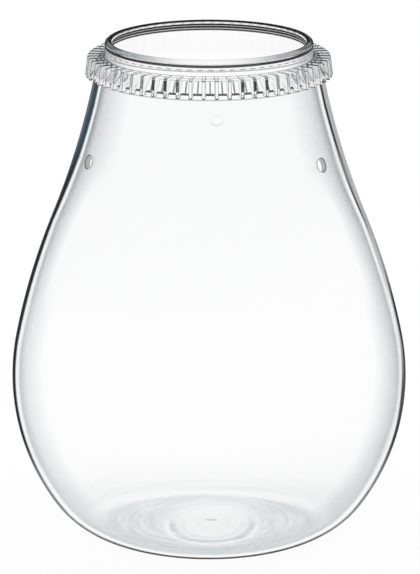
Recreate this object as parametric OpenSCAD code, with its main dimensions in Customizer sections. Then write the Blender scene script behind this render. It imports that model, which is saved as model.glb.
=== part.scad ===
// Glass plant pot for an aquarium: a blown, pear-shaped vessel with a clear finned collar round its neck.
// Millimetres, +Z up. The origin is the centre of the foot, on the surface that the pot stands on.
// Azimuths are counted from the front, which faces -Y, and are positive towards +X.

/* [Vessel] */
// Height from the foot to the top of the lip
height = 192; // [186:0.5:198]
// Largest outside diameter, at the belly
belly_d = 150; // [146:0.5:156]
// Outside diameter of the neck
neck_d = 78; // [76:0.5:80]
// Height of the straight neck, from the top of the lip to the ledge
neck_h = 7; // [6:0.1:8]
// Thickness of the blown wall
wall = 2.2; // [1.8:0.1:2.4]
// Thickness of the rounded lip, which swells inwards
lip_d = 2.8; // [2.6:0.1:3.2]

/* [Outline] */
// Outside diameter where the ledge under the neck runs out into the shoulder
ledge_d = 85.6; // [84.5:0.1:87]
// Steepest slope of the ledge, from the vertical
ledge_slope = 60; // [50:1:66]
// Slope of the shoulder at its top
shoulder_slope = 11.5; // [10.5:0.1:12.5]
// Radius of the hollow curve of the shoulder
shoulder_r = 308; // [290:1:320]
// Steepest slope of the shoulder, where its hollow curve turns into the round flank
waist_slope = 22.2; // [21.6:0.1:22.8]
// Slope at which the flank runs into the belly
flank_slope = 11.5; // [10.5:0.1:12.5]
// Radius of the belly's curve
belly_r = 81.7; // [79:0.1:85]
// Slope under the belly at which the heel begins
heel_slope = 35.2; // [33:0.1:38]

/* [Base] */
// Diameter of the pushed-up middle of the base
punt_d = 44; // [36:1:50]
// Height that the middle of the base is pushed up
punt_rise = 1.6; // [1:0.1:2]
// Height that the floor inside swells at its middle
floor_rise = 2.2; // [1.6:0.1:3]

/* [Drilled holes] */
// Number of holes through the shoulder
hole_count = 3; // [2:1:4]
// Diameter of each hole
hole_d = 5; // [4:0.5:6]
// Height of the holes above the foot
hole_z = 150.3; // [140:0.1:160]

/* [Collar] */
// Height of the collar
collar_h = 7.3; // [6.5:0.1:8]
// Drop from the top of the lip to the top of the collar
collar_drop = 5.7; // [5:0.1:6]
// Diameter over the fins at the top
collar_top_d = 91; // [90:0.1:93]
// Diameter over the feet of the fins
collar_foot_d = 92.7; // [91.5:0.1:95]
// Chamfer at the outer top corner of a fin
fin_chamfer = 0.5; // [0.2:0.1:0.8]
// Number of fins
fin_count = 60; // [40:1:72]
// Thickness of a fin where it leaves the sleeve
fin_root = 1.6; // [1.2:0.1:1.8]
// Thickness of a fin at its outer end
fin_tip = 1.2; // [0.8:0.1:1.4]
// Thickness of the sleeve that carries the fins
sleeve_t = 1; // [0.8:0.1:1.4]
// Length that the feet of the fins hang below the sleeve
foot_drop = 1; // [0.5:0.1:1.5]
// Gap between the collar and the glass
seat_gap = 0.3; // [0.2:0.05:0.4]
// Angle that the collar is turned on the neck
collar_turn = 1; // [0:0.5:6]

/* [Hidden] */

$fn = 180;
CUT = 1; // overshoot of a cut past a face
CHORD_GAP = 0.02; // largest gap between a curve of the outline and its chords
GLASS = [0.86, 0.93, 0.93, 0.35];
CLEAR_PLASTIC = [0.92, 0.95, 0.96, 0.55];

neck_r = neck_d / 2;
ledge_r = (ledge_d - neck_d) / 2 / (1 - 2 * cos(ledge_slope) + cos(shoulder_slope));
waist_at_r = ledge_d / 2 + shoulder_r * (cos(shoulder_slope) - cos(waist_slope));
flank_r = (belly_d / 2 - waist_at_r - belly_r * (1 - cos(flank_slope)))
    / (cos(flank_slope) - cos(waist_slope));

// The outline runs down from the neck as arcs that meet without a corner.
// Each row is an arc's radius, 1 where it bulges or -1 where it is hollow, and the slopes at its two ends.
UPPER_ARCS = [
    [ledge_r, -1, 0, ledge_slope],
    [ledge_r, 1, ledge_slope, shoulder_slope],
    [shoulder_r, -1, shoulder_slope, waist_slope],
    [flank_r, 1, waist_slope, flank_slope],
    [belly_r, 1, flank_slope, -heel_slope],
];
neck_end = [neck_r, height - neck_h];
heel_top = joint(UPPER_ARCS, len(UPPER_ARCS));
heel_r = heel_top[1] / (1 - sin(heel_slope));
foot_r = heel_top[0] - heel_r * cos(heel_slope);
ARCS = concat(UPPER_ARCS, [[heel_r, 1, -heel_slope, -90]]);

// Outward direction of the surface at a slope, as radius and height
function outward(slope) = [cos(slope), sin(slope)];

// Radius and height of the joint above arc k
function joint(arcs, k) = k == 0
    ? neck_end
    : let (arc = arcs[k - 1])
        joint(arcs, k - 1) + arc[1] * arc[0] * (outward(arc[3]) - outward(arc[2]));

// Points along an arc round a centre, without the first, close enough to hide the chords
function arc_points(centre, radius, from, to) =
    let (steps = ceil(abs(to - from) / (2 * acos(1 - CHORD_GAP / radius))))
    [for (i = [1 : steps]) centre + radius * outward(from + (to - from) * i / steps)];

// Points along arc k of the outline, moved inwards by inset
function outline_arc(k, inset) =
    let (
        arc = ARCS[k],
        turned = arc[1] > 0 ? 0 : 180,
        centre = joint(ARCS, k) - arc[1] * arc[0] * outward(arc[2])
    )
    arc_points(centre, arc[0] - arc[1] * inset, arc[2] + turned, arc[3] + turned);

// Points of the whole outline from the end of the neck to the foot, moved inwards by inset
function outline(inset) = concat(
    [neck_end - [inset, 0]],
    [for (k = [0 : len(ARCS) - 1]) each outline_arc(k, inset)]
);

// The lip is a round bead flush with the outside of the neck, so it stands proud inside.
lip_r = lip_d / 2;
lip_centre = [neck_r - lip_r, height - lip_r];
lip_points = arc_points(lip_centre, lip_r, 0, 360 - acos((lip_r - wall) / lip_r));

// The inside of the heel runs on past its lowest ring and turns over into the swell of the floor.
floor_turn = 2 * atan(floor_rise / foot_r);
floor_heel_r = heel_r - wall;
floor_heel_centre = [foot_r, heel_r];
floor_swell_r = foot_r / sin(floor_turn) - floor_heel_r;
floor_swell_centre = [0, wall + floor_rise - floor_swell_r];
floor_points = concat(
    arc_points(floor_heel_centre, floor_heel_r, -90, -90 - floor_turn),
    arc_points(floor_swell_centre, floor_swell_r, 90 - floor_turn, 90)
);

// The middle of the base is pushed up inside a flat ring that the pot stands on.
punt_r = punt_d / 2;
punt_curve_r = (pow(punt_r, 2) + pow(punt_rise, 2)) / (2 * punt_rise);
punt_centre = [0, punt_rise - punt_curve_r];
punt_points = arc_points(punt_centre, punt_curve_r, 90, acos(punt_r / punt_curve_r));

// Radius and slope of the outside of the shoulder at a height on its hollow curve
shoulder_centre = joint(ARCS, 2) + shoulder_r * outward(shoulder_slope);
function shoulder_at(z) = shoulder_centre[0] - sqrt(pow(shoulder_r, 2) - pow(z - shoulder_centre[1], 2));
function shoulder_slope_at(z) = asin((shoulder_centre[1] - z) / shoulder_r);

collar_top_z = height - collar_drop;
collar_foot_z = collar_top_z - collar_h;
sleeve_foot_z = collar_foot_z + foot_drop;
sleeve_bore_r = neck_r + seat_gap;
sleeve_foot_r = shoulder_at(collar_foot_z) + seat_gap + sleeve_t;
fin_root_top_r = sleeve_bore_r + sleeve_t / 2;
fin_root_foot_r = sleeve_foot_r - sleeve_t / 2;
fin_top_r = collar_top_d / 2;
fin_foot_r = collar_foot_d / 2;

module vessel_section() {
    outside = outline(0);
    polygon(concat(
        lip_points,
        outline(wall),
        floor_points,
        [[0, punt_rise]],
        punt_points,
        [for (i = [len(outside) - 1 : -1 : 0]) outside[i]],
        [[neck_r, lip_centre[1]]]
    ));
}

// Blown vessel with its lip, its neck, the ledge that the collar sits on and the drilled holes
module glass_vessel() {
    color(GLASS)
        difference() {
            rotate_extrude()
                vessel_section();
            for (i = [0 : hole_count - 1])
                rotate([0, 0, 90 + i * 360 / hole_count])
                    translate([shoulder_at(hole_z), 0, hole_z])
                        rotate([0, 90 - shoulder_slope_at(hole_z), 0])
                            cylinder(d = hole_d, h = 4 * wall, center = true);
        }
}

// Sleeve with a straight outside and a bore that follows the neck and the ledge
module sleeve() {
    rotate_extrude()
        difference() {
            polygon([
                [0, sleeve_foot_z],
                [sleeve_foot_r, sleeve_foot_z],
                [sleeve_bore_r + sleeve_t, collar_top_z],
                [0, collar_top_z],
            ]);
            polygon(concat([[0, 0], [0, height], [sleeve_bore_r, height]], outline(-seat_gap)));
        }
}

// Thin upright fins that leave the sleeve a little thicker than they end
module fins() {
    fin_end = fin_foot_r + CUT;
    intersection() {
        rotate_extrude()
            polygon([
                [fin_root_foot_r, collar_foot_z],
                [fin_foot_r, collar_foot_z],
                [fin_top_r, collar_top_z - fin_chamfer],
                [fin_top_r - fin_chamfer, collar_top_z],
                [fin_root_top_r, collar_top_z],
            ]);
        translate([0, 0, collar_foot_z - CUT])
            linear_extrude(collar_h + 2 * CUT)
                for (i = [0 : fin_count - 1])
                    rotate(i * 360 / fin_count)
                        polygon([
                            [neck_r, -fin_root / 2],
                            [fin_end, -fin_tip / 2],
                            [fin_end, fin_tip / 2],
                            [neck_r, fin_root / 2],
                        ]);
    }
}

// Clear moulded collar that sits on the ledge round the neck
module finned_collar() {
    color(CLEAR_PLASTIC)
        rotate([0, 0, -90 + collar_turn]) {
            sleeve();
            fins();
        }
}

glass_vessel();
finned_collar();
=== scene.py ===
"""Looks of a clear blown-glass pot and its finned collar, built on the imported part's frame."""

import logging
import math
from dataclasses import dataclass, field, replace
from enum import Enum
from typing import Mapping, Sequence, Union

import bmesh
import bpy
import numpy as np
from mathutils import Matrix, Vector
from mathutils.kdtree import KDTree


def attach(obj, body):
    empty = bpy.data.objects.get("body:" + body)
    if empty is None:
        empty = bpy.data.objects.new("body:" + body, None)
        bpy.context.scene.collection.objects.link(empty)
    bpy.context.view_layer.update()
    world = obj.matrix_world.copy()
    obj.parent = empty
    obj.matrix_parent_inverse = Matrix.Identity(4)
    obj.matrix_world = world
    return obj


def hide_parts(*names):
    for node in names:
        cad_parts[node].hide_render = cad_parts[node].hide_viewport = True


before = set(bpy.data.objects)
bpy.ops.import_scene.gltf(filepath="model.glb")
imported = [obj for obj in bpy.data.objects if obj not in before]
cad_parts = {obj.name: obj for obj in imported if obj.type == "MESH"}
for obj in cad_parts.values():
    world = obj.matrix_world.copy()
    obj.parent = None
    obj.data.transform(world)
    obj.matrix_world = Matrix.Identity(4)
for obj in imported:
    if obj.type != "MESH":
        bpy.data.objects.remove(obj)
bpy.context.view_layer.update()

LOG = logging.getLogger("pot")

# A millimetre in metres, the ends of the height and radius scales in mm, the front in degrees
MM = 0.001
TOP = 200.0
WIDEST = 80.0
FRONT = -90.0

# What counts as on the axis, and how the nearest row of a section is picked
ON_AXIS = 1e-6
NEIGHBOURS = 3
CLEARLY = 0.05

# Places on an edge's painted shade profile, and how its dark line falls off
PROFILE_START = -0.5
PROFILE_END = 1.5
DARK_START = -0.45
BROAD_BAND = 0.4
RIM_STEP = 0.08
FALL_WAY = 0.6
FALL_LEFT = 0.12

# Softness of the painted shade lines, and the steps between looks; the dashes are a painted
# reflection of the fins, one per fin round the axis
RING_SOFT = 0.3
SLAT_SOFT = 0.4
SOFT_STEP = (0.3, 0.7)
UPWARD_STEP = (0.7, 1.0)
PILED_STEP = (0.2, 0.75)
RIM_DEPTH = 0.04
DASH_COUNT = 60
DASH_STAGGER = 2.4

# Optical values, the count of bounces that means none, and of panes that means the first alone
GLASS_IOR = 1.5
PLASTIC_IOR = 1.46
EDGE_ROUGHNESS = 0.6
NONE_YET = 0.5
FIRST_ONLY = 0.5

Colour = tuple[float, float, float]
Stop = tuple[float, Colour]
Levels = tuple[tuple[float, float], ...]
Row = tuple[float, Union[float, Colour]]
Operand = Union["Signal", float]


def grey(level: float) -> Colour:
    """A neutral colour."""
    return (level, level, level)


class Signal:
    """A value socket whose arithmetic adds Math nodes to its graph."""

    def __init__(self, graph: "Graph", socket: bpy.types.NodeSocket) -> None:
        """Wraps an output socket of a node in the graph."""
        self.graph = graph
        self.socket = socket

    def _math(self, operation: str, first: Operand, second: Operand = 0.0) -> "Signal":
        """Adds one Math node and gives its result."""
        node = self.graph.add("ShaderNodeMath", {"operation": operation}, {0: first, 1: second})
        return Signal(self.graph, node.outputs[0])

    def __add__(self, other: Operand) -> "Signal":
        """Sum."""
        return self._math("ADD", self, other)

    def __radd__(self, other: Operand) -> "Signal":
        """Sum, reflected."""
        return self._math("ADD", other, self)

    def __sub__(self, other: Operand) -> "Signal":
        """Difference."""
        return self._math("SUBTRACT", self, other)

    def __rsub__(self, other: Operand) -> "Signal":
        """Difference, reflected."""
        return self._math("SUBTRACT", other, self)

    def __mul__(self, other: Operand) -> "Signal":
        """Product."""
        return self._math("MULTIPLY", self, other)

    def __rmul__(self, other: Operand) -> "Signal":
        """Product, reflected."""
        return self._math("MULTIPLY", other, self)

    def __truediv__(self, other: Operand) -> "Signal":
        """Quotient."""
        return self._math("DIVIDE", self, other)

    def __rtruediv__(self, other: Operand) -> "Signal":
        """Quotient, reflected."""
        return self._math("DIVIDE", other, self)

    def __abs__(self) -> "Signal":
        """Size without its sign."""
        return self._math("ABSOLUTE", self)

    def under(self, limit: float) -> "Signal":
        """1 where the value is below a limit, and 0 elsewhere."""
        return self._math("LESS_THAN", self, limit)

    def over(self, limit: float) -> "Signal":
        """1 where the value is above a limit, and 0 elsewhere."""
        return self._math("GREATER_THAN", self, limit)

    def most(self, other: Operand) -> "Signal":
        """The larger of two values."""
        return self._math("MAXIMUM", self, other)

    def angle(self, across: "Signal") -> "Signal":
        """The angle of a direction, in radians, from how far it goes up and across."""
        return self._math("ARCTAN2", self, across)

    def root(self) -> "Signal":
        """The square root."""
        return self._math("SQRT", self)

    def fraction(self) -> "Signal":
        """What is left above the whole number below it."""
        return self._math("FRACT", self)

    def sine(self) -> "Signal":
        """The sine of an angle in radians."""
        return self._math("SINE", self)

    def towards(self, other: "Signal", share: "Signal") -> "Signal":
        """The value, moved a share of the way to another."""
        return self + share * (other - self)

    def near(self, half: float, soft: float) -> "Signal":
        """1 within a distance of zero, and 0 past it, over a soft share of that distance."""
        return 1.0 - abs(self).ease((1.0 - soft) * half, (1.0 + soft) * half)

    def ease(self, low: float, high: float) -> "Signal":
        """A smooth step.

        Args:
            low: The value at which the step leaves 0.
            high: The value at which it reaches 1.

        Returns:
            The stepped signal.
        """
        node = self.graph.add(
            "ShaderNodeMapRange",
            {"interpolation_type": "SMOOTHSTEP", "clamp": True},
            {"Value": self, "From Min": low, "From Max": high},
        )
        return Signal(self.graph, node.outputs["Result"])


@dataclass
class Graph:
    """The node tree of a material or of the world."""

    tree: bpy.types.NodeTree

    def add(
        self,
        kind: str,
        settings: Mapping[str, object] | None = None,
        inputs: Mapping[str | int, object] | None = None,
    ) -> bpy.types.Node:
        """Adds a node of any type.

        Args:
            kind: The node's type.
            settings: Its properties, set first; "stops" fills a colour ramp.
            inputs: The values or links of its sockets.

        Returns:
            The new node.
        """
        node = self.tree.nodes.new(kind)
        for name, value in (settings or {}).items():
            if name == "stops":
                self._fill_ramp(node.color_ramp, value)
            else:
                setattr(node, name, value)
        for key, value in (inputs or {}).items():
            source = value.socket if isinstance(value, Signal) else value
            if isinstance(source, bpy.types.NodeSocket):
                self.tree.links.new(source, node.inputs[key])
            else:
                node.inputs[key].default_value = source
        return node

    @staticmethod
    def _fill_ramp(ramp: bpy.types.ColorRamp, stops: Sequence[Row]) -> None:
        """Sets a ramp's stops.

        Args:
            ramp: The ramp.
            stops: Positions, in rising order, and the value or colour at each.
        """
        while len(ramp.elements) < len(stops):
            ramp.elements.new(1.0)
        while len(ramp.elements) > len(stops):
            ramp.elements.remove(ramp.elements[-1])
        for element, (position, value) in zip(ramp.elements, stops):
            element.position = position
            element.color = (*(value if isinstance(value, tuple) else grey(value)), 1.0)

    def axes(self, vector: bpy.types.NodeSocket) -> tuple[Signal, Signal, Signal]:
        """The X, Y and Z parts of a vector.

        Args:
            vector: The output socket that gives it.

        Returns:
            The three parts.
        """
        split = self.add("ShaderNodeSeparateXYZ", {}, {0: vector})
        x, y, z = (Signal(self, socket) for socket in split.outputs)
        return x, y, z

    def spot(self) -> tuple[Signal, Signal, Signal]:
        """The place on the object, in metres."""
        return self.axes(self.add("ShaderNodeTexCoord").outputs["Object"])

    def normal(self) -> tuple[Signal, Signal, Signal]:
        """The direction that the surface faces."""
        return self.axes(self.add("ShaderNodeTexCoord").outputs["Normal"])

    def straight_out(self) -> bpy.types.NodeSocket:
        """The level direction away from the axis.

        Returns:
            The direction, of length 1.
        """
        x, y, _ = self.spot()
        out = self.add("ShaderNodeCombineXYZ", {}, {"X": x, "Y": y}).outputs["Vector"]
        unit = self.add("ShaderNodeVectorMath", {"operation": "NORMALIZE"}, {0: out})
        return unit.outputs["Vector"]

    def squareness(self, normal: bpy.types.NodeSocket | None = None) -> Signal:
        """How squarely the surface is seen: 1 face on, 0 at its outline.

        Args:
            normal: A direction to take in place of the surface's own.

        Returns:
            The value.
        """
        inputs: dict[str, object] = {"Blend": 0.5}
        if normal is not None:
            inputs["Normal"] = normal
        facing = self.add("ShaderNodeLayerWeight", {}, inputs).outputs["Facing"]
        return 1.0 - Signal(self, facing)

    def ring_squareness(self) -> Signal:
        """How squarely the ring round the axis is seen: 1 at front and back, 0 at its ends."""
        return self.squareness(self.straight_out())

    def height(self) -> Signal:
        """Height above the foot, in mm."""
        return self.spot()[2] / MM

    def azimuth(self) -> Signal:
        """Angle round the axis, in radians."""
        x, y, _ = self.spot()
        return y.angle(x)

    def radius(self, across: float = 0.0, back: float = 0.0, flat: float = 1.0) -> Signal:
        """Distance from an upright line, in mm.

        Args:
            across: How far to the right of the axis the line stands, in mm.
            back: How far behind the axis it stands, in mm.
            flat: How many times as far the same distance reaches to the sides.

        Returns:
            The distance.
        """
        x, y, _ = self.spot()
        x, y = (x / MM - across) / flat, y / MM - back
        return (x * x + y * y).root()

    def wave(self, stagger: float) -> Signal:
        """A value from 0 to 1 that goes up and down round the axis, shifted with the height."""
        return (self.azimuth() * float(DASH_COUNT) + self.height() * stagger).sine() * 0.5 + 0.5

    def streaks(self, across: float, along: float) -> Signal:
        """Uneven streaks that run round the axis, from 0 to 1.

        Args:
            across: How many change along 1 mm of the radius.
            along: How many change along one radian of the way round.

        Returns:
            The value.
        """
        x, y, _ = self.axes(self.straight_out())
        parts = {"X": x * along, "Y": y * along, "Z": self.radius() * across}
        place = self.add("ShaderNodeCombineXYZ", {}, parts).outputs["Vector"]
        noise = self.add("ShaderNodeTexNoise", {}, {"Vector": place, "Scale": 1.0, "Detail": 2.0})
        return Signal(self, noise.outputs["Fac"]).ease(*SOFT_STEP)

    def path(self, output: str) -> Signal:
        """One of the facts of the Light Path node."""
        return Signal(self, self.add("ShaderNodeLightPath").outputs[output])

    def within(self, panes: float) -> Signal:
        """1 where a surface is seen through fewer panes than a limit, and 0 deeper in."""
        return self.path("Transmission Depth").under(panes)

    def to_floor(self) -> Signal:
        """1 for light on its way to a matt surface, which glass lets through."""
        return self.path("Is Shadow Ray").most(self.path("Diffuse Depth").over(NONE_YET))

    def spent(self) -> Signal:
        """1 for light to the floor, after a reflection, or once straight through glass."""
        bounced = self.path("Glossy Depth").over(NONE_YET)
        return self.to_floor().most(bounced).most(self.path("Transparent Depth").over(NONE_YET))

    def passing(self, panes: float) -> Signal:
        """1 for light that goes straight through: spent, or past a number of panes."""
        return self.spent().most(self.path("Transmission Depth").over(panes))

    def from_behind(self) -> Signal:
        """1 where the surface is seen from within the glass."""
        return Signal(self, self.add("ShaderNodeNewGeometry").outputs["Backfacing"])

    def levels(
        self, rows: Sequence[Row], place: Signal, low: float = 0.0, high: float = 1.0
    ) -> Signal:
        """A value or a colour that changes along a line.

        Args:
            rows: Places along the line, and the value or colour at each.
            place: Where on the line.
            low: The place at which the line starts.
            high: The place at which it ends.

        Returns:
            The value or colour there.
        """
        stops = [((at - low) / (high - low), value) for at, value in rows]
        share = (place - low) / (high - low)
        node = self.add("ShaderNodeValToRGB", {"stops": stops}, {"Fac": share})
        return Signal(self, node.outputs["Color"])

    def by_height(self, rows: Sequence[Row]) -> Signal:
        """A value or a colour that changes with the height, in mm, above the foot."""
        return self.levels(rows, self.height(), high=TOP)

    def between(self, share: Signal, first: Colour | Signal, second: Colour | Signal) -> Signal:
        """A colour between two.

        Args:
            share: The share of the second.
            first: The first colour.
            second: The second colour.

        Returns:
            The mixed colour.
        """
        first, second = (c if isinstance(c, Signal) else (*c, 1.0) for c in (first, second))
        node = self.add("ShaderNodeMix", {"data_type": "RGBA"}, {0: share, 6: first, 7: second})
        return Signal(self, node.outputs[2])

    def principled(
        self, colour: Signal | Colour, roughness: float, others: Mapping[str, float]
    ) -> bpy.types.NodeSocket:
        """A Principled shader.

        Args:
            colour: Its base colour.
            roughness: Its roughness.
            others: The values of its other sockets.

        Returns:
            The shader.
        """
        base = colour if isinstance(colour, Signal) else (*colour, 1.0)
        inputs = {"Base Color": base, "Roughness": roughness, **others}
        return self.add("ShaderNodeBsdfPrincipled", {}, inputs).outputs["BSDF"]

    def open_way(self, colour: Colour) -> bpy.types.NodeSocket:
        """A shader that lets light go straight through."""
        return self.add("ShaderNodeBsdfTransparent", {}, {"Color": (*colour, 1.0)}).outputs["BSDF"]

    def mix(
        self, share: Signal, first: bpy.types.NodeSocket, second: bpy.types.NodeSocket
    ) -> bpy.types.NodeSocket:
        """Mixes two shaders by the share of the second."""
        node = self.add("ShaderNodeMixShader", {}, {0: share, 1: first, 2: second})
        return node.outputs["Shader"]

    def finish(self, shader: bpy.types.NodeSocket) -> None:
        """Links a shader to the tree's output."""
        self.add("ShaderNodeOutputMaterial", {}, {"Surface": shader})


def new_graph(owner: bpy.types.ID) -> Graph:
    """An empty node tree on a material or a world.

    Args:
        owner: The material or world.

    Returns:
        Its graph.
    """
    owner.use_nodes = True
    owner.node_tree.nodes.clear()
    return Graph(owner.node_tree)


def new_material(name: str) -> tuple[bpy.types.Material, Graph]:
    """A new material and its empty graph."""
    made = bpy.data.materials.new(name)
    return made, new_graph(made)


@dataclass(frozen=True)
class Edge:
    """How the painted shade of an edge runs from the outline inwards: a rim, a dark line, a pale
    line, a fading faint shade.

    Shades are shares of the dark shader. Places run from the outline, 0, to clear glass, 1, and
    a little past both.
    """

    rim: float
    dark: float
    dark_at: float
    pale: float
    pale_at: float
    pale_to: float
    faint_shade: float
    faint_shade_at: float
    half_at: float
    gone_at: float = 1.45
    end: float = 0.01
    band: float = BROAD_BAND

    def rows(self) -> Levels:
        """The shade at each place, with the dark line falling fast at first.

        Returns:
            Places and shades, from the outline inwards.
        """
        lead = self.dark_at - self.band
        rows = [(PROFILE_START, self.rim)]
        if self.band < BROAD_BAND:
            rows.append((lead - RIM_STEP, self.rim))
        fall_at = self.dark_at + FALL_WAY * (self.pale_at - self.dark_at)
        rows += [
            (max(lead, DARK_START), self.dark),
            (self.dark_at, self.dark),
            (fall_at, self.pale + FALL_LEFT * (self.dark - self.pale)),
            (self.pale_at, self.pale),
            (self.pale_to, self.pale),
            (self.faint_shade_at, self.faint_shade),
            (self.half_at, (self.faint_shade + self.end) / 2),
            (self.gone_at, self.end),
        ]
        return tuple(rows)


@dataclass(frozen=True)
class Profile:
    """How much painted shade an edge takes at one height: its shade from the outline, 0, to clear
    glass, 1.
    """

    left: Levels
    right: Levels = ()
    height: float = 0.0

    def shade(self, graph: Graph, place: Signal) -> Signal:
        """The painted shade that the profile gives, which may change from left to right, as light
        falling from one side would.

        Args:
            graph: The material's graph.
            place: Where between the outline and clear glass.

        Returns:
            The share of the dark shader.
        """
        shade = graph.levels(self.left, place, PROFILE_START, PROFILE_END)
        if self.right:
            side = graph.normal()[0] * 0.5 + 0.5
            shade = shade.towards(
                graph.levels(self.right, place, PROFILE_START, PROFILE_END), side
            )
        return shade


class Seen(Enum):
    """From where a line on the glass is seen."""

    BOTH = "both"
    FACING = "facing"
    THROUGH = "through"


@dataclass(frozen=True)
class Ring:
    """A thin dark line round the axis, painted on as shade. Sizes in mm."""

    height: float
    half: float
    shade: float
    dashes: float = 0.0
    seen: Seen = Seen.BOTH

    def line(self, graph: Graph) -> Signal:
        """How dark the line is.

        Args:
            graph: The material's graph.

        Returns:
            The share of the dark shader.
        """
        line = (graph.height() - self.height).near(self.half, RING_SOFT) * self.shade
        if self.dashes:
            line = line * (1.0 - graph.wave(0.0) * self.dashes)
        if self.seen is Seen.THROUGH:
            return line * graph.from_behind()
        return line * (1.0 - graph.from_behind()) if self.seen is Seen.FACING else line


@dataclass(frozen=True)
class Slat:
    """A thin dark upright line, painted on as shade, repeated round the axis. Sizes in mm and
    degrees.
    """

    count: int
    turned: float
    radius: float
    half: float
    low: float
    high: float
    shade: float

    def line(self, graph: Graph) -> Signal:
        """How dark the line is.

        Args:
            graph: The material's graph.

        Returns:
            The share of the dark shader.
        """
        step = 2.0 * math.pi / self.count
        turns = ((graph.azimuth() - math.radians(self.turned)) / step).fraction() - 0.5
        line = (turns * (step * self.radius)).near(self.half, SLAT_SOFT)
        height = graph.height()
        return line * height.over(self.low) * height.under(self.high) * self.shade


@dataclass(frozen=True)
class Slant:
    """How much painted shade a face takes as its ring turns away from view, in a band of heights.
    """

    rows: Levels
    low: float
    high: float
    soft: float = 0.5

    def line(self, graph: Graph) -> Signal:
        """How dark the face is.

        Args:
            graph: The material's graph.

        Returns:
            The share of the dark shader.
        """
        height = graph.height()
        above = height.ease(self.low, self.low + self.soft)
        below = 1.0 - height.ease(self.high - self.soft, self.high)
        return graph.levels(self.rows, graph.ring_squareness()) * (above * below)


@dataclass(frozen=True)
class ShadowRings:
    """How strong a painted shadow is in rings round an upright line. Sizes in mm."""

    rows: Levels
    across: float = 0.0
    back: float = 0.0
    flat: float = 1.0
    far_rows: Levels = ()
    turns_far: tuple[float, float] = (-12.0, 4.0)

    def share(self, graph: Graph) -> Signal:
        """The painted shadow's strength, which may change towards the back.

        Args:
            graph: The material's graph.

        Returns:
            The strength.
        """
        place = graph.radius(self.across, self.back, self.flat)
        share = graph.levels(self.rows, place, high=WIDEST)
        if self.far_rows:
            far = (graph.spot()[1] / MM).ease(*self.turns_far)
            share = share.towards(graph.levels(self.far_rows, place, high=WIDEST), far)
        return share


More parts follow.
